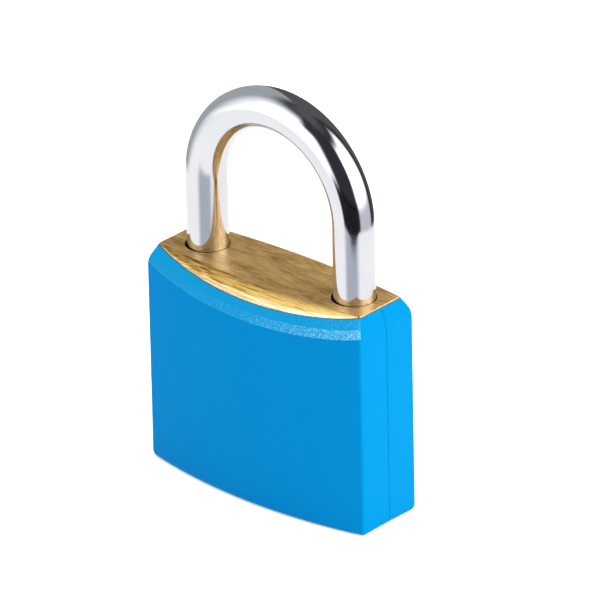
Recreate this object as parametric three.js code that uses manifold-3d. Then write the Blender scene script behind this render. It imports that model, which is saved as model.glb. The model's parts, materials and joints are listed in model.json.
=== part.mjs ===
// A 40 mm brass padlock in a two-part plastic cover, with its whole mechanism.
// Millimetres, +Z up. X runs across the width, -Y is the front, and z = 0 is the
// underside of the cover. The toe leg of the shackle is at +X, the heel leg at -X.
// The lock is shown closed with the key turned: the bolts are drawn back, so the
// shackle is free to rise. Turning the plug on through its range locks it.

import * as THREE from "three";
import { mergeVertices } from "three/addons/utils/BufferGeometryUtils.js";
import Module from "manifold-3d";

const wasm = await Module();
wasm.setup();

// Driving dimensions.
const BRASS = { width: 40, side: 9.1, bow: 2.9, bottom: 1.2, top: 35.6, cornerRadius: 0.4 };
const COVER = { width: 42.3, side: 11.8, bow: 2.7, cornerRadius: 0.35, seamGap: 0.1, brassGap: 0.06 };
const RIM_CHAMFER_HEIGHT = 2.25;
// The cover's foot, as [inset, z] from its walls in to its sole.
const FOOT = [
  [0, 1],
  [0.35, 0.3],
  [1, 0],
];
const LIP = { reach: 2.2, top: 1.14 };
// The brass bevel: the plan outline of its upper edge, how far it falls at the middle
// and at the corners, and the share of its width and fall at the bend half way down.
const BEVEL_TOP = { width: 39.7, side: 8.9, bow: 1.35, cornerRadius: 0.3 };
const BEVEL = { depth: 2.35, power: 0.8, edge: 0.2, bendAcross: 0.53, bendFall: 0.37 };
const BAR_RADIUS = 3.2;
const LEG_X = 14.525;
const ARCH_CENTRE_Z = 47.2;
const LEG_HOLE_RADIUS = 3.4;
const TOE = { bottom: 26.4, holeBottom: 25.6 };
const HEEL = { bottom: 12.6, holeBottom: 4, neckBottom: 14.6, neckTop: 26.2, neckRadius: 1.5 };
const BOLT = { z: 30.6, radius: 3, tip: 10.9, shoulder: 5.2, tailEnd: 2.4, halfGap: 0.15 };
const TONGUE = { height: 3.6, length: 2.2, slopeEnd: -0.4 };
const BOLT_GROOVE = { side: 0.15, top: 0.2 };
const BOLT_SPRING = { radius: 0.95, wire: 0.2, turns: 5, y: 1.5, pocketEnd: 7.4, pocketGap: 0.15 };
const PIN_SPRING = { radius: 0.9, wire: 0.18, turns: 7 };
const LIFT_SPRING = { radius: 2.5, wire: 0.45, turns: 5.5, stepsPerTurn: 12, wireSides: 6 };
const SPRING_GAP = 0.05;
const NOTCH = { height: 4, depth: 1.7 };
// The mechanism sits a little towards the toe side, and the shackle leans that way
// in its holes by its free play.
const MECHANISM_X = 0.35;
const SHACKLE_PLAY = 0.15;
const CHANNEL_RADIUS = 3.25;
const FIT = 0.06;
// How far a cutting shape runs past the surface that it cuts, and how far two joined
// shapes run into each other.
const OVERSHOOT = 1;
const OVERLAP = 0.5;
const PLUG = { radius: 5, length: 20.4, boreRadius: 5.15, boreTop: 23, sides: 48 };
const KEYWAY = { width: 1.5, height: 7, reach: 4, top: 19.4 };
const WARD_DEPTH = 0.5;
const WARD_HALF_WIDTH = 0.6;
const WARDS = [
  { x: WARD_DEPTH / 2 + KEYWAY.width / 4, y: -2 },
  { x: -WARD_DEPTH / 2 - KEYWAY.width / 4, y: 0 },
];
const CAM = { radius: 4.6, bottom: 21.7, discTop: 22.7, pinTop: 29.8 };
const CAM_BOSS = { radius: 2.7, top: 27.2, gap: 0.4 };
const CAM_TONGUE = { half: 0.9, reach: 4.2, bottom: 20.85 };
const CAM_PIN = { radius: 0.7, offset: 1.2 };
const STACK = { first: 5, pitch: 3.1, boreRadius: 1.35, pinRadius: 1.2, driverLength: 4.6 };
const KEY_PIN_LENGTHS = [2.9, 3.7, 3.3, 4.1, 3.1];
const KEY_PIN_POINT = 0.7;
const PIN_BEVEL = 0.2;
const KEY_PIN_TOP = PLUG.radius - 0.15;
const DRIVER_START = PLUG.radius + 0.3;
const DRIVER_END = DRIVER_START + STACK.driverLength;
const SIDE_FACE = BRASS.width / 2 - MECHANISM_X;
const CHAMBER_PLUG_START = SIDE_FACE - 2.7;
const CROSS_PIN_INSET = 0.1;
const SHACKLE_RETAINER = { radius: 0.75, x: -17.3, z: 25.1 };
const PLUG_RETAINER = { radius: 0.6, x: -4.4, z: 19.7, end: 2.4, grooveRadius: 3.6, grooveHalf: 0.75 };
const STACK_HEIGHTS = KEY_PIN_LENGTHS.map((_, k) => STACK.first + STACK.pitch * k);
const BORE_SIDES = 32;
const PIN_SIDES = 16;
const BOW_STEPS = 16;
const BAR_SIDES = 24;
const BAR_CHAMFER = 0.5;
const CORNER_STEPS = 3;
const SMALLEST_CORNER = 0.05;
const ARCH_STEPS = 28;

// Materials.
const metal = (color, roughness) => new THREE.MeshStandardMaterial({ color, roughness, metalness: 1 });
const MATERIALS = {
  cover: new THREE.MeshStandardMaterial({ color: 0x0a8fd8, roughness: 0.45, metalness: 0 }),
  brass: metal(0xb8935b, 0.35),
  chrome: metal(0xdcdce4, 0.08),
  steel: metal(0x9a9ca0, 0.35),
  spring: metal(0x8d8f94, 0.3),
};

// Booleans.
function toSolid(geometry) {
  const bare = geometry.clone();
  bare.deleteAttribute("normal");
  bare.deleteAttribute("uv");
  const merged = mergeVertices(bare, 1e-4);
  return new wasm.Manifold(
    new wasm.Mesh({
      numProp: 3,
      vertProperties: new Float32Array(merged.attributes.position.array),
      triVerts: new Uint32Array(merged.index.array),
    })
  );
}

function toGeometry(solid) {
  const mesh = solid.getMesh();
  const geometry = new THREE.BufferGeometry();
  geometry.setAttribute("position", new THREE.BufferAttribute(new Float32Array(mesh.vertProperties), 3));
  geometry.setIndex(new THREE.BufferAttribute(new Uint32Array(mesh.triVerts), 1));
  return geometry;
}

function cut(geometry, tools) {
  let solid = toSolid(geometry);
  for (const tool of tools) {
    solid = solid.subtract(toSolid(tool));
  }
  return toGeometry(solid);
}

function join(geometries) {
  let solid = toSolid(geometries[0]);
  for (const next of geometries.slice(1)) {
    solid = solid.add(toSolid(next));
  }
  return toGeometry(solid);
}

// Simple shapes, each given by where it starts and ends.
function box(x0, x1, y0, y1, z0, z1) {
  const shape = new THREE.BoxGeometry(x1 - x0, y1 - y0, z1 - z0);
  return shape.translate((x0 + x1) / 2, (y0 + y1) / 2, (z0 + z1) / 2);
}

function rodZ(radius, z0, z1, x = 0, y = 0, sides = BORE_SIDES) {
  const shape = new THREE.CylinderGeometry(radius, radius, z1 - z0, sides);
  return shape.rotateX(Math.PI / 2).translate(x, y, (z0 + z1) / 2);
}

function rodX(radius, x0, x1, y, z, sides = PIN_SIDES) {
  const shape = new THREE.CylinderGeometry(radius, radius, x1 - x0, sides);
  return shape.rotateZ(-Math.PI / 2).translate((x0 + x1) / 2, y, z);
}

function rodY(radius, y0, y1, x, z, sides = PIN_SIDES) {
  return new THREE.CylinderGeometry(radius, radius, y1 - y0, sides).translate(x, (y0 + y1) / 2, z);
}

// A bar along +X turned from a profile of [x, radius] steps.
function turnedX(steps) {
  const start = steps[0][0];
  const end = steps[steps.length - 1][0];
  const profile = [[start, 0], ...steps, [end, 0]].map(([x, r]) => new THREE.Vector2(r, x));
  return new THREE.LatheGeometry(profile, PIN_SIDES).rotateZ(-Math.PI / 2);
}

// A closed solid through a row of rings, each a list of points, with flat ends.
// endSection is the first ring as a flat outline, which its end faces are made from.
function loft(rings, endSection) {
  const count = rings[0].length;
  const positions = rings.flat().flatMap((p) => [p.x, p.y, p.z]);
  const faces = [];
  for (let r = 0; r + 1 < rings.length; r += 1) {
    for (let k = 0; k < count; k += 1) {
      const a = r * count + k;
      const b = r * count + ((k + 1) % count);
      faces.push(a, b + count, b);
      faces.push(a, a + count, b + count);
    }
  }
  const last = (rings.length - 1) * count;
  const { area, triangulateShape } = THREE.ShapeUtils;
  for (const [a, b, c] of triangulateShape(endSection, [])) {
    const withOutline = area([a, b, c].map((k) => endSection[k])) * area(endSection) > 0;
    const [p, q] = withOutline ? [b, c] : [c, b];
    faces.push(a, p, q);
    faces.push(last + a, last + q, last + p);
  }
  const geometry = new THREE.BufferGeometry();
  geometry.setAttribute("position", new THREE.Float32BufferAttribute(positions, 3));
  geometry.setIndex(faces);
  return geometry;
}

// A coil spring standing on z = 0: a round wire swept along a helix.
class Helix extends THREE.Curve {
  constructor(radius, height, turns) {
    super();
    Object.assign(this, { radius, height, turns });
  }

  getPoint(t, target = new THREE.Vector3()) {
    const angle = t * this.turns * 2 * Math.PI;
    return target.set(this.radius * Math.cos(angle), this.radius * Math.sin(angle), t * this.height);
  }
}

function coil({ radius, wire, height, turns, stepsPerTurn = 8, wireSides = 5 }) {
  const endRoom = 1.2 * wire;
  const section = new THREE.Shape();
  const corners = Array.from({ length: wireSides }, (_, k) => (k / wireSides) * 2 * Math.PI);
  section.setFromPoints(corners.map((a) => new THREE.Vector2(wire * Math.cos(a), wire * Math.sin(a))));
  const helix = new Helix(radius, height - 2 * endRoom, turns);
  const sweep = { steps: Math.round(turns * stepsPerTurn), extrudePath: helix, bevelEnabled: false };
  return new THREE.ExtrudeGeometry(section, sweep).translate(0, 0, endRoom);
}

// The front face's y at x: an arc through both front corners of the plan.
function frontY({ width, side, bow }, x, grow = 0) {
  const half = width / 2 + grow;
  const arcRadius = (half * half + bow * bow) / (2 * bow);
  return -(side / 2 + grow + bow - arcRadius + Math.sqrt(arcRadius * arcRadius - x * x));
}

// Half a plan outline, from (+x, 0) round the front to (-x, 0): straight sides,
// rounded corners and the bowed front. grow moves every face outwards.
function halfPlan(plan, grow = 0) {
  const half = plan.width / 2 + grow;
  const faceY = (x) => frontY(plan, x, grow);
  const points = [new THREE.Vector2(half, 0)];
  const cornerStart = Math.max(plan.cornerRadius + grow, SMALLEST_CORNER);
  const corner = new THREE.QuadraticBezierCurve(
    new THREE.Vector2(half, faceY(half) + cornerStart),
    new THREE.Vector2(half, faceY(half)),
    new THREE.Vector2(half - cornerStart, faceY(half - cornerStart))
  ).getPoints(CORNER_STEPS);
  points.push(...corner);
  for (let k = 1; k < BOW_STEPS; k += 1) {
    const x = (half - cornerStart) * (1 - (2 * k) / BOW_STEPS);
    points.push(new THREE.Vector2(x, faceY(x)));
  }
  points.push(...corner.map((p) => new THREE.Vector2(-p.x, p.y)).reverse());
  points.push(new THREE.Vector2(-half, 0));
  return points;
}

// The whole plan outline, clockwise seen from above.
function fullPlan(plan) {
  const front = halfPlan(plan).slice(1, -1);
  return [...front, ...front.map((p) => new THREE.Vector2(-p.x, -p.y))];
}

// How far the brass bevel has fallen below the top where it meets the front face.
function bevelDrop(x) {
  const share = Math.max(0, 1 - (x / (BRASS.width / 2)) ** 2);
  return Math.max(BEVEL.edge, BEVEL.depth * share ** BEVEL.power);
}

// Brass body: a bowed block with rounded-off top edges, drilled for the mechanism.
function makeBrassBody() {
  const outline = fullPlan(BRASS);
  const crest = fullPlan(BEVEL_TOP);
  const levelRing = (across, fall) =>
    outline.map((p, k) => {
      const q = crest[k].clone().lerp(p, across);
      return new THREE.Vector3(q.x, q.y, BRASS.top - fall * bevelDrop(p.x));
    });
  const rings = [
    outline.map((p) => new THREE.Vector3(p.x, p.y, BRASS.bottom)),
    levelRing(1, 1),
    levelRing(BEVEL.bendAcross, BEVEL.bendFall),
    levelRing(0, 0),
  ];
  const sideEnd = SIDE_FACE + OVERSHOOT;
  const bores = [
    rodZ(LEG_HOLE_RADIUS, TOE.holeBottom, BRASS.top + OVERSHOOT, LEG_X),
    rodZ(LEG_HOLE_RADIUS, HEEL.holeBottom, BRASS.top + OVERSHOOT, -LEG_X),
    rodZ(PLUG.boreRadius, BRASS.bottom - OVERSHOOT, PLUG.boreTop, 0, 0, PLUG.sides),
    rodZ(CAM_BOSS.radius + CAM_BOSS.gap, PLUG.boreTop - OVERSHOOT, BOLT.z),
    rodX(CHANNEL_RADIUS, -LEG_X, sideEnd, 0, BOLT.z, BORE_SIDES),
    ...STACK_HEIGHTS.map((z) => rodX(STACK.boreRadius, PLUG.radius - OVERSHOOT, sideEnd, 0, z)),
    shackleRetainerRod(FIT, BRASS.side),
    plugRetainerRod(FIT, BRASS.side),
  ];
  return cut(loft(rings, outline), bores.map((bore) => bore.translate(MECHANISM_X, 0, 0)));
}

// The cross pins, and the holes for them when grown by a fit and lengthened.
function shackleRetainerRod(fit = 0, extra = -CROSS_PIN_INSET) {
  const { radius, x, z } = SHACKLE_RETAINER;
  const reach = extra - frontY(BRASS, x + MECHANISM_X);
  return rodY(radius + fit, -reach, reach, x, z);
}

function plugRetainerRod(fit = 0, extra = -CROSS_PIN_INSET) {
  const { radius, x, z, end } = PLUG_RETAINER;
  return rodY(radius + fit, frontY(BRASS, x + MECHANISM_X) - extra, end + fit, x, z);
}

// One half of the cover: a wall round the brass with a sloped rim and a bottom lip.
function makeHalfCover() {
  const inner = halfPlan(BRASS, COVER.brassGap);
  const outer = halfPlan(COVER);
  const foot = FOOT.map(([inset, z]) => [halfPlan(COVER, -inset), z]);
  const lip = halfPlan(BRASS, -LIP.reach);
  const seam = -COVER.seamGap / 2;
  const rings = inner.map((p, k) => {
    const rimZ = BRASS.top - bevelDrop(p.x);
    const section = [
      [p, rimZ],
      [outer[k], rimZ - RIM_CHAMFER_HEIGHT],
      ...foot.map(([outline, z]) => [outline[k], z]),
      [lip[k], 0],
      [lip[k], LIP.top],
      [p, LIP.top],
    ];
    return section.map(([q, z]) => new THREE.Vector3(q.x, Math.min(q.y, seam), z));
  });
  const endSection = rings[0].map((q) => new THREE.Vector2(q.x, q.z));
  return loft(rings, endSection);
}

// Shackle: heel leg with collar, neck and end disc, round arch, short toe leg.
function makeShackle() {
  const ring = (centre, across, radius) =>
    Array.from({ length: BAR_SIDES }, (_, k) => {
      const angle = (k / BAR_SIDES) * 2 * Math.PI;
      const side = new THREE.Vector3(0, 1, 0).multiplyScalar(radius * Math.sin(angle));
      return centre.clone().addScaledVector(across, radius * Math.cos(angle)).add(side);
    });
  const heelSteps = [
    [HEEL.bottom, BAR_RADIUS - BAR_CHAMFER],
    [HEEL.bottom + BAR_CHAMFER, BAR_RADIUS],
    [HEEL.neckBottom, BAR_RADIUS],
    [HEEL.neckBottom, HEEL.neckRadius],
    [HEEL.neckTop, HEEL.neckRadius],
    [HEEL.neckTop, BAR_RADIUS],
  ];
  const outward = new THREE.Vector3(-1, 0, 0);
  const rings = heelSteps.map(([z, r]) => ring(new THREE.Vector3(-LEG_X, 0, z), outward, r));
  for (let k = 0; k <= ARCH_STEPS; k += 1) {
    const angle = Math.PI * (1 - k / ARCH_STEPS);
    const radial = new THREE.Vector3(Math.cos(angle), 0, Math.sin(angle));
    const centre = radial.clone().multiplyScalar(LEG_X).setZ(ARCH_CENTRE_Z + LEG_X * radial.z);
    rings.push(ring(centre, radial, BAR_RADIUS));
  }
  const inward = new THREE.Vector3(1, 0, 0);
  rings.push(ring(new THREE.Vector3(LEG_X, 0, TOE.bottom + BAR_CHAMFER), inward, BAR_RADIUS));
  rings.push(ring(new THREE.Vector3(LEG_X, 0, TOE.bottom), inward, BAR_RADIUS - BAR_CHAMFER));
  const endSection = rings[0].map((p) => new THREE.Vector2(p.x + LEG_X, p.y));
  const notchWall = LEG_X - BAR_RADIUS + NOTCH.depth;
  const low = BOLT.z - NOTCH.height / 2;
  const high = BOLT.z + NOTCH.height / 2;
  const notches = [-1, 1].map((leg) => {
    const notch = box(0, notchWall, -BAR_RADIUS - OVERSHOOT, BAR_RADIUS + OVERSHOOT, low, high);
    return leg < 0 ? notch.rotateZ(Math.PI) : notch;
  });
  return cut(loft(rings, endSection), notches).translate(SHACKLE_PLAY, 0, 0);
}

// A bolt along +X: a round bar with a tongue at its tip and a half-round tail that
// passes the other bolt and has a cross groove underneath for the cam pin.
function makeBolt() {
  const clear = BOLT.radius + OVERSHOOT;
  const low = BOLT.z - clear;
  const high = BOLT.z + clear;
  const bar = rodX(BOLT.radius, -BOLT.tailEnd, BOLT.tip, 0, BOLT.z, BORE_SIDES);
  const farHalf = box(-BOLT.tailEnd - OVERSHOOT, BOLT.shoulder, -clear, BOLT.halfGap, low, high);
  const grooveX = -CAM_PIN.offset * Math.SQRT1_2;
  const grooveHalf = CAM_PIN.radius + BOLT_GROOVE.side;
  const grooveTop = CAM.pinTop + BOLT_GROOVE.top;
  const groove = box(grooveX - grooveHalf, grooveX + grooveHalf, -clear, clear, low, grooveTop);
  const { radius, wire, pocketGap, y, pocketEnd } = BOLT_SPRING;
  const pocket = rodX(radius + wire + pocketGap, BOLT.shoulder - OVERSHOOT, pocketEnd, -y, BOLT.z);
  const tongueStart = BOLT.tip - TONGUE.length;
  const tongueLow = BOLT.z - TONGUE.height / 2;
  const underCut = box(tongueStart, BOLT.tip + OVERSHOOT, -clear, clear, low, tongueLow);
  const slopeTip = BOLT.tip + OVERLAP;
  const slope = new THREE.Shape([
    new THREE.Vector2(tongueStart, BOLT.z + TONGUE.height / 2),
    new THREE.Vector2(slopeTip, BOLT.z + TONGUE.slopeEnd),
    new THREE.Vector2(slopeTip, high),
    new THREE.Vector2(tongueStart, high),
  ]);
  const topCut = new THREE.ExtrudeGeometry(slope, { depth: 2 * clear, bevelEnabled: false });
  topCut.rotateX(Math.PI / 2).translate(0, clear, 0);
  return cut(bar, [farHalf, groove, pocket, underCut, topCut]);
}

function makeBoltSpring() {
  const start = BOLT.tailEnd + SPRING_GAP;
  const spring = coil({ ...BOLT_SPRING, height: BOLT_SPRING.pocketEnd - SPRING_GAP - start });
  return spring.rotateY(Math.PI / 2).translate(start, -BOLT_SPRING.y, BOLT.z);
}

// Plug in its turned position: keyway along Y, pin chambers open towards +Y.
function makePlug() {
  const bottom = BRASS.bottom;
  const top = bottom + PLUG.length;
  const barrel = rodZ(PLUG.radius, bottom, top, 0, 0, PLUG.sides);
  const half = KEYWAY.width / 2;
  const open = bottom - OVERSHOOT;
  const blade = box(-half, half, -KEYWAY.reach, KEYWAY.height - KEYWAY.reach, open, KEYWAY.top);
  const wardHalf = (half + WARD_DEPTH) / 2;
  const wards = WARDS.map(({ x, y }) =>
    box(x - wardHalf, x + wardHalf, y - WARD_HALF_WIDTH, y + WARD_HALF_WIDTH, open, KEYWAY.top)
  );
  const slotHalf = CAM_TONGUE.half + FIT;
  const outside = PLUG.radius + OVERSHOOT;
  const slotBottom = CAM_TONGUE.bottom - FIT;
  const tongueSlot = box(-slotHalf, slotHalf, -outside, outside, slotBottom, top + OVERSHOOT);
  const grooveLow = PLUG_RETAINER.z - PLUG_RETAINER.grooveHalf;
  const grooveHigh = PLUG_RETAINER.z + PLUG_RETAINER.grooveHalf;
  const core = rodZ(PLUG_RETAINER.grooveRadius, grooveLow - OVERSHOOT, grooveHigh + OVERSHOOT);
  const groove = cut(rodZ(outside, grooveLow, grooveHigh), [core]);
  const chambers = STACK_HEIGHTS.map((z) => rodY(STACK.boreRadius, 0, outside, 0, z));
  return cut(barrel, [blade, ...wards, ...chambers, tongueSlot, groove]);
}

// Cam: a disc with a tongue that sits in the plug, a boss and two eccentric pins.
function makeCam() {
  const disc = rodZ(CAM.radius, CAM.bottom, CAM.discTop);
  const { half, reach: tongueReach, bottom } = CAM_TONGUE;
  const tongue = box(-half, half, -tongueReach, tongueReach, bottom, CAM.bottom + OVERLAP);
  const boss = rodZ(CAM_BOSS.radius, CAM.discTop - OVERLAP, CAM_BOSS.top);
  const reach = CAM_PIN.offset * Math.SQRT1_2;
  const pins = [-1, 1].map((side) =>
    rodZ(CAM_PIN.radius, CAM_BOSS.top - OVERLAP, CAM.pinTop, -side * reach, side * reach, PIN_SIDES)
  );
  return join([disc, tongue, boss, ...pins]);
}

// Pins and springs of the five stacks. A pin is turned with a bevel at each end.
function makePin(start, end, startBevel, endBevel) {
  return turnedX([
    [start, STACK.pinRadius - startBevel],
    [start + startBevel, STACK.pinRadius],
    [end - endBevel, STACK.pinRadius],
    [end, STACK.pinRadius - endBevel],
  ]);
}

// A key pin lies along +Y inside the plug, with its blunt point in the keyway.
function makeKeyPin(length, z) {
  const pin = makePin(KEY_PIN_TOP - length, KEY_PIN_TOP, KEY_PIN_POINT, PIN_BEVEL);
  return pin.rotateZ(Math.PI / 2).translate(0, 0, z);
}

function makeDriverPin(z) {
  return makePin(DRIVER_START, DRIVER_END, PIN_BEVEL, PIN_BEVEL).translate(0, 0, z);
}

function makePinSpring(z) {
  const start = DRIVER_END + SPRING_GAP;
  const spring = coil({ ...PIN_SPRING, height: CHAMBER_PLUG_START - SPRING_GAP - start });
  return spring.rotateY(Math.PI / 2).translate(start, 0, z);
}

function makeChamberPlug(z) {
  return rodX(STACK.boreRadius - FIT, CHAMBER_PLUG_START, SIDE_FACE, 0, z);
}

function makeChannelPlug() {
  return rodX(CHANNEL_RADIUS - FIT, LEG_X + LEG_HOLE_RADIUS, SIDE_FACE, 0, BOLT.z, BORE_SIDES);
}

function makeShackleSpring() {
  const spring = coil({ ...LIFT_SPRING, height: HEEL.bottom - HEEL.holeBottom - 2 * SPRING_GAP });
  return spring.translate(-LEG_X, 0, HEEL.holeBottom + SPRING_GAP);
}

// Assembly: fixed pieces first, then each moving body.
const padlock = new THREE.Group();

const mechanism = new THREE.Group();
mechanism.position.x = MECHANISM_X;
padlock.add(mechanism);

function place(name, geometry, material, parent = mechanism) {
  const mesh = new THREE.Mesh(geometry, material);
  mesh.name = name;
  parent.add(mesh);
  return mesh;
}

function turnedRound(parent) {
  const group = new THREE.Group();
  group.rotation.z = Math.PI;
  parent.add(group);
  return group;
}

const facingBack = turnedRound(padlock);
const facingHeel = turnedRound(mechanism);

place("brass_body", makeBrassBody(), MATERIALS.brass, padlock);
place("front_cover", makeHalfCover(), MATERIALS.cover, padlock);
place("back_cover", makeHalfCover(), MATERIALS.cover, facingBack);
place("shackle", makeShackle(), MATERIALS.chrome);
place("shackle_spring", makeShackleSpring(), MATERIALS.spring);
place("cylinder_plug", makePlug(), MATERIALS.brass);
place("cylinder_cam", makeCam(), MATERIALS.steel);
place("toe_bolt", makeBolt(), MATERIALS.steel);
place("heel_bolt", makeBolt(), MATERIALS.steel, facingHeel);
place("toe_bolt_spring", makeBoltSpring(), MATERIALS.spring);
place("heel_bolt_spring", makeBoltSpring(), MATERIALS.spring, facingHeel);
place("bolt_channel_plug", makeChannelPlug(), MATERIALS.brass);
place("shackle_retaining_pin", shackleRetainerRod(), MATERIALS.steel);
place("cylinder_retaining_pin", plugRetainerRod(), MATERIALS.steel);
KEY_PIN_LENGTHS.forEach((length, k) => {
  const z = STACK_HEIGHTS[k];
  place(`key_pin_${k + 1}`, makeKeyPin(length, z), MATERIALS.brass);
  place(`driver_pin_${k + 1}`, makeDriverPin(z), MATERIALS.steel);
  place(`pin_spring_${k + 1}`, makePinSpring(z), MATERIALS.spring);
  place(`chamber_plug_${k + 1}`, makeChamberPlug(z), MATERIALS.brass);
});

export default padlock;
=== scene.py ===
"""A blue-covered brass padlock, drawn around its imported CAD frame.

Everything is in metres in the frame's own axes: +X towards the toe leg, -Y the
front, +Z up, and z = 0 the surface that the padlock stands on.
"""

import json
import math
import bmesh
import bpy
from mathutils import Matrix, Vector


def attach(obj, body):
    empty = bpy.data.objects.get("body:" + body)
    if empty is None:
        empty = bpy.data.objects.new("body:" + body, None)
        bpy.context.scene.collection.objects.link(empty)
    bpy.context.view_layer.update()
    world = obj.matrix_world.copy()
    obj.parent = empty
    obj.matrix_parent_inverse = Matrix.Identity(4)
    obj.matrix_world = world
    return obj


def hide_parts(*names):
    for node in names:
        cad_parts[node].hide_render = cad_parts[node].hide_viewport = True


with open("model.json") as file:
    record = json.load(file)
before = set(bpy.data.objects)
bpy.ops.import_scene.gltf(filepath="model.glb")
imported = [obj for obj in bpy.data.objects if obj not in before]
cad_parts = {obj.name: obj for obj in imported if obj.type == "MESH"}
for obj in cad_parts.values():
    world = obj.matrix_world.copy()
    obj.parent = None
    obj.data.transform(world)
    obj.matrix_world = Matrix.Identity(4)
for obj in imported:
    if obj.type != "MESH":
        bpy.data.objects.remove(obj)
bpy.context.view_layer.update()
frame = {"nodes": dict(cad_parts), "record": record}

MM = 0.001

# ---------------------------------------------------------------------------
# Camera: a long lens a little over a metre away, turned slightly on its axis.
# ---------------------------------------------------------------------------

AZIMUTH = math.radians(42.0)
ELEVATION = math.radians(26.1)
ROLL = math.radians(-1.22)
DISTANCE = 1.388
LENS = 559.6
CENTRE = Vector((0, 0, 27.6 * MM))
AIM_RIGHT = 3.03 * MM
AIM_UP = 2.59 * MM


def make_camera():
    """Places the camera round the lock and makes it the scene's."""
    back = Vector(
        (
            math.sin(AZIMUTH) * math.cos(ELEVATION),
            -math.cos(AZIMUTH) * math.cos(ELEVATION),
            math.sin(ELEVATION),
        )
    )
    level_right = Vector((math.cos(AZIMUTH), math.sin(AZIMUTH), 0))
    level_up = back.cross(level_right)
    right = math.cos(ROLL) * level_right + math.sin(ROLL) * level_up
    up = math.cos(ROLL) * level_up - math.sin(ROLL) * level_right
    data = bpy.data.cameras.new("camera")
    data.lens = LENS
    data.sensor_width = 36
    data.clip_start = 0.05
    data.clip_end = 20
    camera = bpy.data.objects.new("camera", data)
    bpy.context.scene.collection.objects.link(camera)
    place = CENTRE + AIM_RIGHT * right + AIM_UP * up + DISTANCE * back
    turn = Matrix((right, up, back)).transposed().to_4x4()
    camera.matrix_world = Matrix.Translation(place) @ turn
    bpy.context.scene.camera = camera


make_camera()

# ---------------------------------------------------------------------------
# Sizes, in millimetres: the CAD model's own.
# ---------------------------------------------------------------------------

BRASS = {"width": 40, "side": 9.1, "bow": 2.9, "corner": 0.4}
COVER = {"width": 42.3, "side": 11.8, "bow": 2.7, "corner": 0.35}
BRASS_BOTTOM = 1.2
BRASS_TOP = 35.6
# The brass bevel: its upper outline, how far it falls at the middle and at the ends, how
# fast it falls between them, and the shares of its width and fall that its bend pulls to.
BEVEL_TOP = {"width": 39.7, "side": 8.9, "bow": 1.35, "corner": 0.3}
BEVEL_DEPTH = 2.35
BEVEL_EDGE = 0.2
BEVEL_POWER = 0.8
BEVEL_BEND = (0.57, 0.25)
RIM_HEIGHT = 2.25
# Half the gap between the two covers.
SEAM_HALF = 0.035
BRASS_GAP = 0.06
LIP_REACH = 2.2
LIP_TOP = 1.14
# Corner radii of the cover's section: rim, shoulder, foot, sole, and the two of the lip.
COVER_RADII = [0.12, 1.0, 1.1, 0.2, 0.1, 0]

BAR_RADIUS = 3.2
LEG_X = 14.525
ARCH_Z = 47.2
TOE_BOTTOM = 26.4
# The heel leg ends in a disc below a thin neck, on which the shackle swings round.
HEEL_DISC = {"bottom": 12.6, "top": 14.6}
HEEL_NECK = {"radius": 1.5, "top": 26.2}
NOTCH = {"depth": 1.7, "half_height": 2, "half_width": 5}
# A ring this far inside each end of a straight leg keeps its shading straight.
STRAIGHT_END = 0.4

LEG_HOLE = {"radius": 3.4, "rim": 0.06, "toe_bottom": 25.6, "heel_bottom": 4}
BOLT_Z = 30.6
BOLT_CHANNEL = {"radius": 3.25, "end": 21}
MECHANISM_X = 0.35
SHACKLE_PLAY = 0.15
# Holes, from front to back, for the cross pins that keep the shackle and the cylinder in.
SHACKLE_PIN = {"x": -17.3, "z": 25.1, "radius": 0.81, "from": -8, "to": 8}
CYLINDER_PIN = {"x": -4.4, "z": 19.7, "radius": 0.66, "from": -9, "to": 2.46}

PLUG_RADIUS = 5
PLUG_LENGTH = 20.4
PLUG_GROOVE = {"bottom": 18.95, "top": 20.45, "radius": 3.6}
CAM_SLOT = {"bottom": 20.79, "half_width": 0.96}
BORE = {"radius": 5.15, "top": 23, "mouth": 0.5, "mouth_height": 0.2}
CAM_BORE_RADIUS = 3.1
KEYWAY_TOP = 19.4
# Pin stacks lie across the lock, one above the other.
STACKS = 5
FIRST_STACK_Z = 5
STACK_PITCH = 3.1
CHAMBER_RADIUS = 1.35
BODY_CHAMBER = (4, 21)
PLUG_CHAMBER = (0.1, 6)

# Coil springs: ends along their axis, mean radius, wire radius and number of turns.
LIFT_SPRING = {"start": 4.05, "end": 12.55, "radius": 2.5, "wire": 0.45, "turns": 5.5}
STACK_SPRING = {"start": 9.95, "end": 17.25, "radius": 0.9, "wire": 0.18, "turns": 7}
TOE_SPRING = {"start": 2.45, "end": 7.35, "radius": 0.95, "wire": 0.2, "turns": 5}
HEEL_SPRING = {"start": -7.35, "end": -2.45, "radius": 0.95, "wire": 0.2, "turns": 5}
# The bolts' springs lie side by side, this far from the middle.
BOLT_SPRING_Y = 1.5

BOW_STEPS = 72
CORNER_STEPS = 6
BEVEL_STEPS = 8
BAR_SIDES = 72
ARCH_STEPS = 96
ROUND_SIDES = 96
CHAMBER_SIDES = 48
PIN_SIDES = 32
ROUND_STEPS = 4
WIRE_SIDES = 10
WIRE_STEPS = 36


# ---------------------------------------------------------------------------
# Mesh helpers. Shapes are worked out in millimetres and stored in metres.
# ---------------------------------------------------------------------------


def new_object(name, vertices, faces):
    """A mesh object with every face turned outwards."""
    mesh = bpy.data.meshes.new(name)
    mesh.from_pydata([tuple(c * MM for c in v) for v in vertices], [], faces)
    work = bmesh.new()
    work.from_mesh(mesh)
    bmesh.ops.recalc_face_normals(work, faces=work.faces)
    work.to_mesh(mesh)
    work.free()
    obj = bpy.data.objects.new(name, mesh)
    bpy.context.scene.collection.objects.link(obj)
    return obj


def smooth(obj, angle):
    """Smooth shading, with a crease wherever two faces meet at more than angle."""
    mesh = obj.data
    mesh.shade_smooth()
    mesh.set_sharp_from_angle(angle=math.radians(angle))
    return obj


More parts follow.
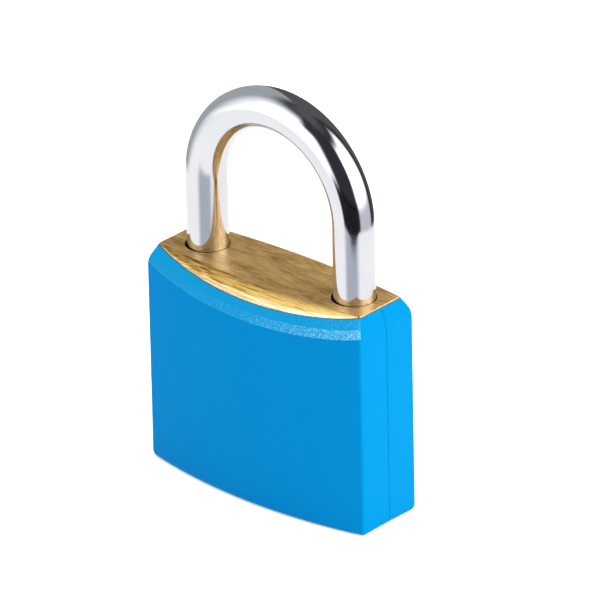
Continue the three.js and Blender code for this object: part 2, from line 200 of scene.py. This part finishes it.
def loft(name, rings):
    """A solid through rings of points, with flat ends."""
    count = len(rings[0])
    last = (len(rings) - 1) * count
    vertices = [tuple(p) for ring in rings for p in ring]
    faces = []
    for here in range(0, last, count):
        there = here + count
        for k in range(count):
            after = (k + 1) % count
            faces.append((here + k, there + k, there + after, here + after))
    faces.append(tuple(range(count)))
    faces.append(tuple(reversed(range(last, last + count))))
    return new_object(name, vertices, faces)


def prism(name, outline, low, high):
    """An upright solid over a plan outline."""
    return loft(name, [[(x, y, z) for x, y in outline] for z in (low, high)])


def turned(name, profile, x=0, y=0, axis="Z", sides=ROUND_SIDES):
    """A turned solid from (radius, height) steps along an axis.

    x and y place that axis: they are (x, y) for Z, (y, z) for X and (x, z) for Y.
    """
    rings = []
    for radius, height in profile:
        ring = []
        for k in range(sides):
            angle = 2 * math.pi * k / sides
            u = radius * math.cos(angle)
            v = radius * math.sin(angle)
            spots = {
                "Z": (x + u, y + v, height),
                "X": (height, x + u, y + v),
                "Y": (x + u, height, y + v),
            }
            ring.append(spots[axis])
        rings.append(ring)
    return loft(name, rings)


def block(name, low, high):
    """A box between two opposite corners."""
    outline = [(low[0], low[1]), (high[0], low[1]), (high[0], high[1]), (low[0], high[1])]
    return prism(name, outline, low[2], high[2])


def aside(obj, across=MECHANISM_X):
    """Moves a shape along X, off the lock's middle to where the mechanism sits."""
    obj.data.transform(Matrix.Translation((across * MM, 0, 0)))
    return obj


def cut(obj, tools):
    """Takes each tool out of obj and throws the tools away."""
    for tool in tools:
        modifier = obj.modifiers.new("cut", "BOOLEAN")
        modifier.object = tool
        modifier.operation = "DIFFERENCE"
        modifier.solver = "EXACT"
    depsgraph = bpy.context.evaluated_depsgraph_get()
    result = bpy.data.meshes.new_from_object(obj.evaluated_get(depsgraph))
    obj.modifiers.clear()
    obj.data = result
    for tool in tools:
        bpy.data.objects.remove(tool)
    return obj


# ---------------------------------------------------------------------------
# Plan outline of the brass and of the cover: straight sides, round corners and
# a front face that is an arc.
# ---------------------------------------------------------------------------

SMALLEST_CORNER = 0.05


def curve(start, corner, end, steps):
    """Points from start to end along a curve that the corner pulls on."""
    points = []
    for k in range(steps + 1):
        t = k / steps
        points.append((1 - t) ** 2 * start + 2 * t * (1 - t) * corner + t * t * end)
    return points


def front_y(plan, x, grow=0):
    """Where the bowed front face lies at x."""
    half = plan["width"] / 2 + grow
    arc = (half * half + plan["bow"] ** 2) / (2 * plan["bow"])
    return -(plan["side"] / 2 + grow + plan["bow"] - arc + math.sqrt(arc * arc - x * x))


def half_plan(plan, grow=0):
    """From (+x, 0) round the front to (-x, 0)."""
    half = plan["width"] / 2 + grow
    start = max(plan["corner"] + grow, SMALLEST_CORNER)
    side_end = Vector((half, front_y(plan, half, grow) + start))
    tip = Vector((half, front_y(plan, half, grow)))
    face_start = Vector((half - start, front_y(plan, half - start, grow)))
    corner = curve(side_end, tip, face_start, CORNER_STEPS)
    points = [Vector((half, 0))] + corner
    for k in range(1, BOW_STEPS):
        x = (half - start) * (1 - 2 * k / BOW_STEPS)
        points.append(Vector((x, front_y(plan, x, grow))))
    points += [Vector((-p.x, p.y)) for p in reversed(corner)]
    points.append(Vector((-half, 0)))
    return points


def full_plan(plan):
    """The whole outline, front and back."""
    half = half_plan(plan)[1:-1]
    return [(p.x, p.y) for p in half] + [(-p.x, -p.y) for p in half]


def bevel_drop(x):
    """How far the brass bevel has fallen where it meets the front face at x."""
    share = max(0, 1 - (2 * x / BRASS["width"]) ** 2)
    return max(BEVEL_EDGE, BEVEL_DEPTH * share**BEVEL_POWER)


# ---------------------------------------------------------------------------
# Pieces
# ---------------------------------------------------------------------------


def rounded(section, radii):
    """The closed section with each corner rounded over by its own radius."""
    largest_share = 0.45
    points = []
    for k, corner in enumerate(section):
        radius = radii[k]
        if radius == 0:
            points.append(corner)
            continue
        before = section[k - 1] - corner
        after = section[(k + 1) % len(section)] - corner
        start = corner + before.normalized() * min(radius, before.length * largest_share)
        end = corner + after.normalized() * min(radius, after.length * largest_share)
        points += curve(start, corner, end, ROUND_STEPS)
    return points


def make_half_cover(name, facing):
    """One moulded half: a wall round the brass, a sloped rim and a bottom lip."""
    inner = half_plan(BRASS, BRASS_GAP)
    outer = half_plan(COVER)
    lip = half_plan(BRASS, -LIP_REACH)
    rings = []
    for near, far, under in zip(inner, outer, lip):
        rim = BRASS_TOP - bevel_drop(near.x)
        section = [
            Vector((near.x, near.y, rim)),
            Vector((far.x, far.y, rim - RIM_HEIGHT)),
            Vector((far.x, far.y, 0)),
            Vector((under.x, under.y, 0)),
            Vector((under.x, under.y, LIP_TOP)),
            Vector((near.x, near.y, LIP_TOP)),
        ]
        ring = rounded(section, COVER_RADII)
        rings.append([(facing * v.x, facing * min(v.y, -SEAM_HALF), v.z) for v in ring])
    return smooth(loft(name, rings), 40)


def leg_hole(x, bottom):
    """Cutter for a leg hole, widening a little at the brass top."""
    radius = LEG_HOLE["radius"]
    rim = LEG_HOLE["rim"]
    profile = [(radius, bottom), (radius, BRASS_TOP - rim), (radius + 2 * rim, BRASS_TOP + rim)]
    return turned("hole_tool", profile, x)


def cross_hole(pin):
    """Cutter for a cross pin's hole, from front to back."""
    profile = [(pin["radius"], pin["from"]), (pin["radius"], pin["to"])]
    return turned("pin_tool", profile, pin["x"], pin["z"], "Y", PIN_SIDES)


def chambers(ends, axis):
    """Cutters for the row of pin chambers, each between its two ends along an axis."""
    profile = [(CHAMBER_RADIUS, end) for end in ends]
    heights = [FIRST_STACK_Z + STACK_PITCH * k for k in range(STACKS)]
    return [turned("chamber_tool", profile, 0, z, axis, CHAMBER_SIDES) for z in heights]


def make_brass_block(name):
    """The bowed body with rounded-off top edges, leg holes and the cylinder's bore."""
    outline = full_plan(BRASS)
    crest = full_plan(BEVEL_TOP)
    bend_across, bend_fall = BEVEL_BEND
    rings = [[(x, y, BRASS_BOTTOM) for x, y in outline]]
    for k in range(BEVEL_STEPS + 1):
        t = 1 - k / BEVEL_STEPS
        across = 2 * t * (1 - t) * bend_across + t * t
        fall = 2 * t * (1 - t) * bend_fall + t * t
        ring = []
        for low, high in zip(outline, crest):
            x = high[0] + across * (low[0] - high[0])
            y = high[1] + across * (low[1] - high[1])
            ring.append((x, y, BRASS_TOP - fall * bevel_drop(low[0])))
        rings.append(ring)
    body = loft(name, rings)
    bore = [
        (BORE["radius"] + BORE["mouth"], BRASS_BOTTOM - 0.3),
        (BORE["radius"], BRASS_BOTTOM + BORE["mouth_height"]),
        (BORE["radius"], BORE["top"]),
    ]
    cam_bore = [(CAM_BORE_RADIUS, BORE["top"] - 1), (CAM_BORE_RADIUS, BOLT_Z)]
    channel = [(BOLT_CHANNEL["radius"], -LEG_X), (BOLT_CHANNEL["radius"], BOLT_CHANNEL["end"])]
    tools = [
        leg_hole(LEG_X, LEG_HOLE["toe_bottom"]),
        leg_hole(-LEG_X, LEG_HOLE["heel_bottom"]),
        turned("bore_tool", bore),
        turned("cam_tool", cam_bore),
        turned("channel_tool", channel, 0, BOLT_Z, "X"),
        *chambers(BODY_CHAMBER, "X"),
        cross_hole(SHACKLE_PIN),
        cross_hole(CYLINDER_PIN),
    ]
    return smooth(cut(body, [aside(tool) for tool in tools]), 20)


def make_shackle_bar(name):
    """Heel leg with disc, neck and collar, the arch, and the short toe leg."""

    def ring(centre, across, radius):
        points = []
        for k in range(BAR_SIDES):
            angle = 2 * math.pi * k / BAR_SIDES
            offset = across * (radius * math.cos(angle))
            points.append(centre + offset + Vector((0, radius * math.sin(angle), 0)))
        return points

    disc = HEEL_DISC
    neck = HEEL_NECK
    edge = 0.2
    tip_inset = 0.5
    heel = [
        (disc["bottom"], BAR_RADIUS - tip_inset),
        (disc["bottom"] + tip_inset, BAR_RADIUS),
        (disc["top"] - edge, BAR_RADIUS),
        (disc["top"], BAR_RADIUS - edge),
        (disc["top"], neck["radius"] + edge),
        (disc["top"] + edge, neck["radius"]),
        (neck["top"] - edge, neck["radius"]),
        (neck["top"], neck["radius"] + edge),
        (neck["top"], BAR_RADIUS - edge),
        (neck["top"] + edge, BAR_RADIUS),
        (ARCH_Z - STRAIGHT_END, BAR_RADIUS),
    ]
    rings = [ring(Vector((-LEG_X, 0, z)), Vector((-1, 0, 0)), r) for z, r in heel]
    for k in range(ARCH_STEPS + 1):
        angle = math.pi * (1 - k / ARCH_STEPS)
        radial = Vector((math.cos(angle), 0, math.sin(angle)))
        rings.append(ring(radial * LEG_X + Vector((0, 0, ARCH_Z)), radial, BAR_RADIUS))
    toe_tip = TOE_BOTTOM + 0.6
    toe = [
        (ARCH_Z - STRAIGHT_END, BAR_RADIUS),
        (toe_tip + STRAIGHT_END, BAR_RADIUS),
        (toe_tip, BAR_RADIUS),
        (TOE_BOTTOM + 0.3, BAR_RADIUS - 0.15),
        (TOE_BOTTOM, BAR_RADIUS - tip_inset),
    ]
    rings += [ring(Vector((LEG_X, 0, z)), Vector((1, 0, 0)), r) for z, r in toe]
    bar = loft(name, rings)
    floor = LEG_X - BAR_RADIUS + NOTCH["depth"]
    tools = []
    for leg in (-1, 1):
        ends = sorted((0, leg * floor))
        low = (ends[0], -NOTCH["half_width"], BOLT_Z - NOTCH["half_height"])
        high = (ends[1], NOTCH["half_width"], BOLT_Z + NOTCH["half_height"])
        tools.append(block("notch_tool", low, high))
    return aside(smooth(cut(bar, tools), 30), MECHANISM_X + SHACKLE_PLAY)


def make_plug(name):
    """The turning cylinder: its face, keyway, pin chambers and locking groove.

    At rest the key is turned, so its chambers point to the back and not to the side.
    """
    top = BRASS_BOTTOM + PLUG_LENGTH
    face_edge = 0.3
    top_edge = 0.2
    profile = [
        (PLUG_RADIUS - face_edge, BRASS_BOTTOM),
        (PLUG_RADIUS, BRASS_BOTTOM + face_edge),
        (PLUG_RADIUS, PLUG_GROOVE["bottom"]),
        (PLUG_GROOVE["radius"], PLUG_GROOVE["bottom"]),
        (PLUG_GROOVE["radius"], PLUG_GROOVE["top"]),
        (PLUG_RADIUS, PLUG_GROOVE["top"]),
        (PLUG_RADIUS, top - top_edge),
        (PLUG_RADIUS - top_edge, top),
    ]
    plug = turned(name, profile)
    slot = CAM_SLOT["half_width"]
    # The keyway is a straight slot, widened by one side groove to the right and one to the left.
    tools = [
        block("keyway_tool", (-0.75, -4, 0), (0.75, 3, KEYWAY_TOP)),
        block("groove_tool", (-0.5, -2.6, 0), (1.25, -1.4, KEYWAY_TOP - 0.1)),
        block("groove_tool", (-1.25, -0.6, 0), (0.5, 0.6, KEYWAY_TOP - 0.1)),
        block("slot_tool", (-slot, -6, CAM_SLOT["bottom"]), (slot, 6, BORE["top"])),
        *chambers(PLUG_CHAMBER, "Y"),
    ]
    return aside(smooth(cut(plug, tools), 30))


def make_coil(name, spring, axis, side=(0, 0)):
    """A coil spring along an axis, its end turns closed up."""
    wire = spring["wire"]
    turns = spring["turns"]
    seat = 1.05 * wire
    closing = 0.35 * wire
    length = spring["end"] - spring["start"] - 2 * seat
    total = round(turns * WIRE_STEPS)
    rings = []
    for k in range(total + 1):
        t = k / total
        open_share = min(1, t * turns, (1 - t) * turns)
        along = spring["start"] + seat + length * t
        ease = closing * (1 - open_share)
        along += -ease if t < 0.5 else ease
        angle = 2 * math.pi * turns * t
        out = Vector((math.cos(angle), math.sin(angle)))
        ring = []
        for s in range(WIRE_SIDES):
            round_wire = 2 * math.pi * s / WIRE_SIDES
            reach = spring["radius"] + wire * math.cos(round_wire)
            u, v = out * reach
            w = along + wire * math.sin(round_wire)
            if axis == "Z":
                ring.append((side[0] + u, side[1] + v, w))
            else:
                ring.append((w, side[0] + u, side[1] + v))
        rings.append(ring)
    return aside(smooth(loft(name, rings), 60))


# ---------------------------------------------------------------------------
# Materials
# ---------------------------------------------------------------------------


class Nodes:
    """A node material under construction, with short calls for what repeats."""

    def __init__(self, name, **settings):
        self.material = bpy.data.materials.new(name)
        self.material.use_nodes = True
        self.tree = self.material.node_tree
        self.shader = self.tree.nodes["Principled BSDF"]
        for socket, value in settings.items():
            self.shader.inputs[socket.replace("_", " ")].default_value = value
        self.place = self.tree.nodes.new("ShaderNodeTexCoord").outputs["Object"]

    def link(self, source, target):
        self.tree.links.new(source, target)

    def stretched(self, scale, turn):
        """The place on the object, scaled and turned, so that noise runs in lines."""
        node = self.tree.nodes.new("ShaderNodeMapping")
        node.inputs["Scale"].default_value = scale
        node.inputs["Rotation"].default_value = turn
        self.link(self.place, node.inputs["Vector"])
        return node.outputs["Vector"]

    def noise(self, scale, detail=4, rough=0.6, place=None):
        node = self.tree.nodes.new("ShaderNodeTexNoise")
        node.inputs["Scale"].default_value = scale
        node.inputs["Detail"].default_value = detail
        node.inputs["Roughness"].default_value = rough
        self.link(place or self.place, node.inputs["Vector"])
        return node.outputs["Fac"]

    def ramp(self, value, stops):
        node = self.tree.nodes.new("ShaderNodeValToRGB")
        elements = node.color_ramp.elements
        while len(elements) < len(stops):
            elements.new(0.5)
        for element, (position, colour) in zip(elements, stops):
            element.position = position
            element.color = (*colour, 1)
        self.link(value, node.inputs["Fac"])
        return node.outputs["Color"]

    def rising(self, value, per_metre):
        """The value with an amount added in proportion to x."""
        split = self.tree.nodes.new("ShaderNodeSeparateXYZ")
        self.link(self.place, split.inputs["Vector"])
        node = self.tree.nodes.new("ShaderNodeMath")
        node.operation = "MULTIPLY_ADD"
        node.inputs[1].default_value = per_metre
        self.link(split.outputs["X"], node.inputs[0])
        self.link(value, node.inputs[2])
        return node.outputs["Value"]

    def colour(self, value, stops):
        """Base colour from a value, by colour stops."""
        self.link(self.ramp(value, stops), self.shader.inputs["Base Color"])

    def roughness(self, value, low, high):
        """Roughness from low to high as the value goes from 0 to 1."""
        node = self.tree.nodes.new("ShaderNodeMapRange")
        node.inputs["To Min"].default_value = low
        node.inputs["To Max"].default_value = high
        self.link(value, node.inputs["Value"])
        self.link(node.outputs["Result"], self.shader.inputs["Roughness"])

    def bump(self, height, strength, distance):
        """Adds a bump to the ones already there."""
        node = self.tree.nodes.new("ShaderNodeBump")
        node.inputs["Strength"].default_value = strength
        node.inputs["Distance"].default_value = distance
        self.link(height, node.inputs["Height"])
        previous = self.shader.inputs["Normal"].links
        if previous:
            self.link(previous[0].from_socket, node.inputs["Normal"])
        self.link(node.outputs["Normal"], self.shader.inputs["Normal"])


BLUE_DEEP = (0.0, 0.163, 0.41)
BLUE_FULL = (0.0, 0.185, 0.455)
# Painted light on the rim: a lighter blue where the slope faces the light, and pale specks of
# painted highlight over the grain that grow towards +x.
BLUE_RIM_PAINTED_LIGHT = (0.0, 0.225, 0.48)
BLUE_PAINTED_GLINT = (0.22, 0.52, 0.74)
PAINTED_GLINT_PER_METRE = 6.5
# Painted light: how fast the bevel brass lightens towards +x, the side lit from the right.
PAINTED_LIGHT_PER_METRE = 6.0


def blue_plastic():
    """Satin moulded plastic with a fine spark-eroded texture."""
    m = Nodes("blue_plastic", Specular_IOR_Level=0.01)
    m.colour(m.noise(2200, 4, 0.9), [(0.3, BLUE_DEEP), (0.7, BLUE_FULL)])
    grain = m.noise(2600, 3, 0.7)
    m.roughness(grain, 0.34, 0.5)
    m.bump(grain, 0.35, 0.00006)
    m.bump(m.noise(260, 2), 0.12, 0.0002)
    return m.material


def blue_painted_edge(name, speckle_from, speckle_to):
    """The same plastic in a lighter blue as painted light, with pale specks of painted highlight
    between the blue that grow along x.
    """
    m = Nodes(name, Specular_IOR_Level=0.06)
    grain = m.rising(m.noise(5200, 2, 0.85), PAINTED_GLINT_PER_METRE)
    m.colour(grain, [(speckle_from, BLUE_RIM_PAINTED_LIGHT), (speckle_to, BLUE_PAINTED_GLINT)])
    m.roughness(grain, 0.3, 0.45)
    m.bump(grain, 0.5, 0.00008)
    return m.material


def brushed_brass():
    """Milled brass top: short fine lines along the width and slow brown stains."""
    m = Nodes("brushed_brass", Metallic=0.6)
    lines = m.noise(1, 4, 0.75, m.stretched((300, 5000, 5000), (0, 0, math.radians(4))))
    broad = m.noise(1, 4, 0.6, m.stretched((110, 420, 420), (0, 0, math.radians(8))))
    mix = m.tree.nodes.new("ShaderNodeMix")
    mix.inputs["Factor"].default_value = 0.33
    m.link(lines, mix.inputs["A"])
    m.link(broad, mix.inputs["B"])
    m.colour(
        mix.outputs["Result"],
        [(0.38, (0.20, 0.10, 0.028)), (0.48, (0.50, 0.29, 0.09)), (0.62, (0.80, 0.53, 0.21))],
    )
    m.roughness(lines, 0.3, 0.5)
    m.bump(lines, 0.6, 0.00004)
    return m.material


def bright_brass(name, dark, middle, light):
    """The freshly milled bevel, smoother and yellower than the top, with fine lines, and lighter
    towards +x as painted light.
    """
    m = Nodes(name, Metallic=1.0)
    lines = m.noise(1, 4, 0.75, m.stretched((200, 4200, 4200), (0, 0, math.radians(7))))
    m.colour(m.rising(lines, PAINTED_LIGHT_PER_METRE), [(0.36, dark), (0.46, middle), (0.62, light)])
    m.roughness(lines, 0.26, 0.4)
    m.bump(lines, 0.4, 0.00003)
    return m.material


def turned_brass():
    """Plain machined brass, for bores and the cylinder."""
    m = Nodes("turned_brass", Metallic=1.0)
    grain = m.noise(900, 4, 0.65)
    m.colour(grain, [(0.3, (0.50, 0.33, 0.12)), (0.7, (0.64, 0.45, 0.19))])
    m.roughness(grain, 0.28, 0.42)
    m.bump(grain, 0.2, 0.00003)
    return m.material


def chrome():
    """Polished chrome plate over a drawn bar: faint waviness and hairlines."""
    m = Nodes("chrome", Metallic=1.0)
    m.colour(m.noise(60, 3), [(0.3, (0.74, 0.74, 0.80)), (0.7, (0.80, 0.80, 0.86))])
    scuffs = m.noise(700, 5, 0.75)
    m.roughness(scuffs, 0.05, 0.11)
    m.bump(m.noise(160, 2), 0.04, 0.0002)
    m.bump(scuffs, 0.03, 0.00003)
    m.bump(m.noise(3200, 2, 0.8), 0.14, 0.00002)
    return m.material


def steel(name, dark, light, scale):
    """Machined or drawn steel, for the pieces inside."""
    m = Nodes(name, Metallic=1.0)
    grain = m.noise(scale, 5, 0.65)
    m.colour(grain, [(0.3, dark), (0.7, light)])
    m.roughness(grain, 0.25, 0.42)
    m.bump(grain, 0.15, 0.00003)
    return m.material


def stage_surface(name, dark, light, glow=0.0):
    """Matt paper or cloth of the set, glowing a little if asked."""
    m = Nodes(name, Roughness=0.9, Specular_IOR_Level=0.1, Emission_Strength=glow)
    m.colour(m.noise(6, 2), [(0.3, dark), (0.7, light)])
    return m.material


BLUE = blue_plastic()
# Two copies carry the rim's painted light and painted highlight specks; the shoulder gets more
# specks than the slope.
BLUE_ROUND_PAINTED_GLINT = blue_painted_edge("blue_round_painted_glint", 0.55, 0.8)
BLUE_SLOPE_PAINTED_LIGHT = blue_painted_edge("blue_slope_painted_light", 0.68, 0.98)
BRUSHED = brushed_brass()
BRIGHT = bright_brass("bright_brass", (0.22, 0.11, 0.025), (0.50, 0.30, 0.075), (0.72, 0.50, 0.17))
# A paler copy of the bevel brass for its steep lip: a painted reflection of the bright light in
# front.
LIP_BRASS_PAINTED_REFLECTION = bright_brass("lip_brass_painted_reflection", (0.50, 0.33, 0.14), (0.66, 0.47, 0.22), (0.95, 0.82, 0.54))
TURNED = turned_brass()
CHROME = chrome()
MACHINED = steel("machined_steel", (0.36, 0.36, 0.38), (0.52, 0.52, 0.55), 1100)
PAPER = stage_surface("pale_paper", (0.92, 0.92, 0.92), (0.95, 0.95, 0.95), 0.3)
DARK_TABLE = stage_surface("dark_table", (0.006, 0.006, 0.006), (0.009, 0.009, 0.009))
SPRING = steel("spring_steel", (0.30, 0.30, 0.32), (0.46, 0.46, 0.48), 1600)

# ---------------------------------------------------------------------------
# Assembly
# ---------------------------------------------------------------------------


def mount(piece, body, material, slot, *nodes):
    """Gives a piece its material and its body, in place of the named CAD nodes."""
    piece.data.materials.clear()
    piece.data.materials.append(material)
    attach(piece, body)
    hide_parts(*nodes)
    return piece


def finish_faces(piece, materials, choose):
    """Adds materials to a piece and gives each face the one that choose returns."""
    for material in materials:
        piece.data.materials.append(material)
    for face in piece.data.polygons:
        face.material_index = choose(face)


PLAIN, BRUSHED_TOP, BRIGHT_BEVEL, LIP_PAINTED_REFLECTION = range(4)
RIM_ZONE_Z = 30
# How far a face's normal points up, from 0 for a wall to 1 for a level face.
UPRIGHT = 0.2
STEEP = 0.46
LEVEL = 0.98


def brass_finish(face):
    """The top is brushed, the bowed bevels are bright with a paler lip as painted reflection, the
    rest is plain.
    """
    up = face.normal.z
    if face.center.z < RIM_ZONE_Z * MM or up < UPRIGHT:
        return PLAIN
    if up > LEVEL or abs(face.normal.x) > abs(face.normal.y):
        return BRUSHED_TOP
    return BRIGHT_BEVEL if up > STEEP else LIP_PAINTED_REFLECTION


SMOOTH_PLASTIC, SHOULDER_PAINTED_GLINT, SLOPE_PAINTED_LIGHT = range(3)
SIDE_FACING = 0.95


def cover_finish(face):
    """The rim's slope and the shoulder below it get the painted light and painted highlight specks
    on the two bowed faces.
    """
    rounded_corners = sum(radius > 0 for radius in COVER_RADII)
    section_points = rounded_corners * (ROUND_STEPS + 1) + len(COVER_RADII) - rounded_corners
    strip = face.index % section_points
    on_side = abs(face.normal.x) > SIDE_FACING * math.hypot(face.normal.x, face.normal.y)
    if strip < ROUND_STEPS or strip >= 2 * ROUND_STEPS or on_side:
        return SMOOTH_PLASTIC
    return SLOPE_PAINTED_LIGHT if strip == ROUND_STEPS else SHOULDER_PAINTED_GLINT


for name, facing, node in (("cover_front", 1, "front_cover"), ("cover_back", -1, "back_cover")):
    cover = mount(make_half_cover(name, facing), "lock_body", BLUE, "blue_plastic", node)
    finish_faces(cover, (BLUE_ROUND_PAINTED_GLINT, BLUE_SLOPE_PAINTED_LIGHT), cover_finish)
brass = mount(make_brass_block("brass_block"), "lock_body", TURNED, "brass_body", "brass_body")
finish_faces(brass, (BRUSHED, BRIGHT, LIP_BRASS_PAINTED_REFLECTION), brass_finish)
mount(make_shackle_bar("shackle_bar"), "shackle", CHROME, "chrome_shackle", "shackle")
mount(make_plug("key_cylinder"), "plug", TURNED, "plug_brass", "cylinder_plug")

SPRING_SLOT = "spring_steel"
lift_spring = make_coil("lift_spring", LIFT_SPRING, "Z", (-LEG_X, 0))
mount(lift_spring, "lock_body", SPRING, SPRING_SLOT, "shackle_spring")
for k in range(STACKS):
    height = FIRST_STACK_Z + STACK_PITCH * k
    spring = make_coil(f"stack_spring_{k + 1}", STACK_SPRING, "X", (0, height))
    mount(spring, "lock_body", SPRING, SPRING_SLOT, f"pin_spring_{k + 1}")
toe_spring = make_coil("toe_side_spring", TOE_SPRING, "X", (-BOLT_SPRING_Y, BOLT_Z))
mount(toe_spring, "toe_bolt", SPRING, SPRING_SLOT, "toe_bolt_spring")
heel_spring = make_coil("heel_side_spring", HEEL_SPRING, "X", (BOLT_SPRING_Y, BOLT_Z))
mount(heel_spring, "heel_bolt", SPRING, SPRING_SLOT, "heel_bolt_spring")

SLOT_MATERIALS = {"plain_steel": MACHINED, "plug_brass": TURNED}
for entry in frame["record"]["subparts"]:
    material = SLOT_MATERIALS.get(entry["material_slot"])
    node = frame["nodes"][entry["node"]]
    if material and not node.hide_render:
        for place in node.material_slots:
            place.material = material

# ---------------------------------------------------------------------------
# Studio: a pale floor in a dark room, with a large soft box on each side. The
# world draws the room by direction: azimuth is in degrees round from the front
# of the set, positive to the right, and elevation is in degrees. Each zone lies
# over the ones listed before it, and its edges ease over the soft degrees.
# ---------------------------------------------------------------------------

ROOM_SHADE = (0.035, 0.037, 0.042)
ZONES = [
    # name, shade; azimuth from, soft, to, soft; elevation from, soft, to, soft
    ("ceiling", (0.10, 0.107, 0.106), (-400, 1, 400, 1), (72, 24, 100, 1)),
    ("rear_right", (0.10, 0.106, 0.101), (132, 14, 190, 1), (-60, 10, 88, 10)),
    ("rear_left", (0.40, 0.43, 0.42), (-190, 1, -100, 30), (-60, 10, 60, 24)),
    ("left_low", (1.05, 1.07, 1.05), (-112, 40, -46, 12), (-40, 3, 0, 14)),
    ("left_box", (1.72, 1.75, 1.78), (-102, 58, -34, 16), (-6, 14, 54, 40)),
    ("left_corner", (0.04, 0.043, 0.042), (-50, 14, -20, 10), (38, 14, 74, 10)),
    ("right_low", (0.64, 0.64, 0.68), (38, 14, 108, 14), (-40, 6, 4, 14)),
    ("right_box", (2.75, 2.75, 2.75), (36, 12, 110, 22), (1, 20, 50, 22)),
    ("floor_edge", (0.006, 0.006, 0.007), (-45, 10, 35, 12), (-40, 6, -1, 12)),
    ("table", (1.08, 1.085, 1.05), (-400, 1, 400, 1), (-100, 1, -23.3, 3)),
    ("table_shade", (0.50, 0.53, 0.59), (-45, 26, 21, 26), (-33, 8, -23.3, 3)),
]
BACKDROP_SHADE = (1, 1, 1)


class World:
    """The room, drawn on the world's background."""

    def __init__(self):
        self.world = bpy.data.worlds.new("studio")
        self.world.use_nodes = True
        self.tree = self.world.node_tree
        bpy.context.scene.world = self.world

    def node(self, kind, *sources, **settings):
        made = self.tree.nodes.new(kind)
        for name, value in settings.items():
            setattr(made, name, value)
        for socket, source in zip(made.inputs, sources):
            if isinstance(source, bpy.types.NodeSocket):
                self.tree.links.new(source, socket)
            elif source is not None:
                socket.default_value = source
        return made.outputs[0]

    def math(self, operation, *sources):
        return self.node("ShaderNodeMath", *sources, operation=operation)

    def step(self, value, edge, soft):
        """0 below the edge and 1 above it, easing over soft degrees."""
        limits = (edge - soft / 2, edge + soft / 2, 0, 1)
        return self.node("ShaderNodeMapRange", value, *limits, interpolation_type="SMOOTHSTEP")

    def band(self, value, low, low_soft, high, high_soft):
        below = self.math("SUBTRACT", 1.0, self.step(value, high, high_soft))
        return self.math("MULTIPLY", self.step(value, low, low_soft), below)

    def mix(self, factor, first, second):
        made = self.tree.nodes.new("ShaderNodeMix")
        made.data_type = "RGBA"
        self.tree.links.new(factor, made.inputs["Factor"])
        for name, colour in (("A", first), ("B", second)):
            socket = next(i for i in made.inputs if i.name == name and i.type == "RGBA")
            if isinstance(colour, bpy.types.NodeSocket):
                self.tree.links.new(colour, socket)
            else:
                socket.default_value = (*colour, 1)
        return next(o for o in made.outputs if o.type == "RGBA")

    def build(self):
        direction = self.tree.nodes.new("ShaderNodeTexCoord").outputs["Generated"]
        turned_round = self.node("ShaderNodeVectorRotate", direction, rotation_type="Z_AXIS")
        turned_round.node.inputs["Angle"].default_value = -AZIMUTH
        split = self.node("ShaderNodeSeparateXYZ", turned_round).node
        x, y, z = split.outputs
        front = self.math("MULTIPLY", y, -1.0)
        azimuth = self.math("DEGREES", self.math("ARCTAN2", x, front))
        elevation = self.math("DEGREES", self.math("ARCSINE", z))
        shade = ROOM_SHADE
        for _, colour, around, up in ZONES:
            mask = self.math("MULTIPLY", self.band(azimuth, *around), self.band(elevation, *up))
            shade = self.mix(mask, shade, colour)
        seen = self.tree.nodes.new("ShaderNodeLightPath").outputs["Is Camera Ray"]
        shade = self.mix(seen, shade, BACKDROP_SHADE)
        self.tree.links.new(shade, self.tree.nodes["Background"].inputs["Color"])


def make_sheet(name, corners, material):
    """A flat sheet of the set, in metres."""
    mesh = bpy.data.meshes.new(name)
    mesh.from_pydata(corners, [], [(0, 1, 2, 3)])
    mesh.materials.append(material)
    sheet = bpy.data.objects.new(name, mesh)
    bpy.context.scene.collection.objects.link(sheet)
    return sheet


def make_floor():
    """White paper under the lock, which the metals don't mirror."""
    reach = 4
    corners = [(-reach, -reach, 0), (reach, -reach, 0), (reach, reach, 0), (-reach, reach, 0)]
    make_sheet("floor", corners, PAPER).visible_glossy = False


def make_dark_table():
    """The dark table in front of the paper, which only the chrome mirrors."""
    near = 0.1065
    near_half_width = 0.075
    far = 0.5
    far_half_width = 0.33
    forward = Vector((math.sin(AZIMUTH), -math.cos(AZIMUTH), 0))
    across = Vector((math.cos(AZIMUTH), math.sin(AZIMUTH), 0))
    spots = [
        (near, -near_half_width),
        (near, near_half_width),
        (far, far_half_width),
        (far, -far_half_width),
    ]
    corners = [forward * distance + across * side for distance, side in spots]
    table = make_sheet("dark_table", corners, DARK_TABLE)
    table.visible_camera = False
    table.visible_diffuse = False
    table.visible_shadow = False


def soft_light(name, place, size, power, colour=(1, 1, 1)):
    """A soft box aimed at the lock, which the metals don't mirror."""
    data = bpy.data.lights.new(name, "AREA")
    data.shape = "RECTANGLE"
    data.size, data.size_y = size
    data.energy = power
    data.color = colour
    light = bpy.data.objects.new(name, data)
    light.location = place
    direction = CENTRE - Vector(place)
    light.rotation_euler = direction.to_track_quat("-Z", "Y").to_euler()
    light.visible_glossy = False
    bpy.context.scene.collection.objects.link(light)


World().build()
make_floor()
make_dark_table()
soft_light("overhead", (0.0, 0.0, 1.2), (1.6, 1.6), 22)
soft_light("right_fill", (1.3, 0.1, 0.35), (0.8, 0.8), 14, (0.9, 1, 0.7))
bpy.context.scene.view_settings.view_transform = "Standard"
bpy.context.scene.view_settings.look = "None"
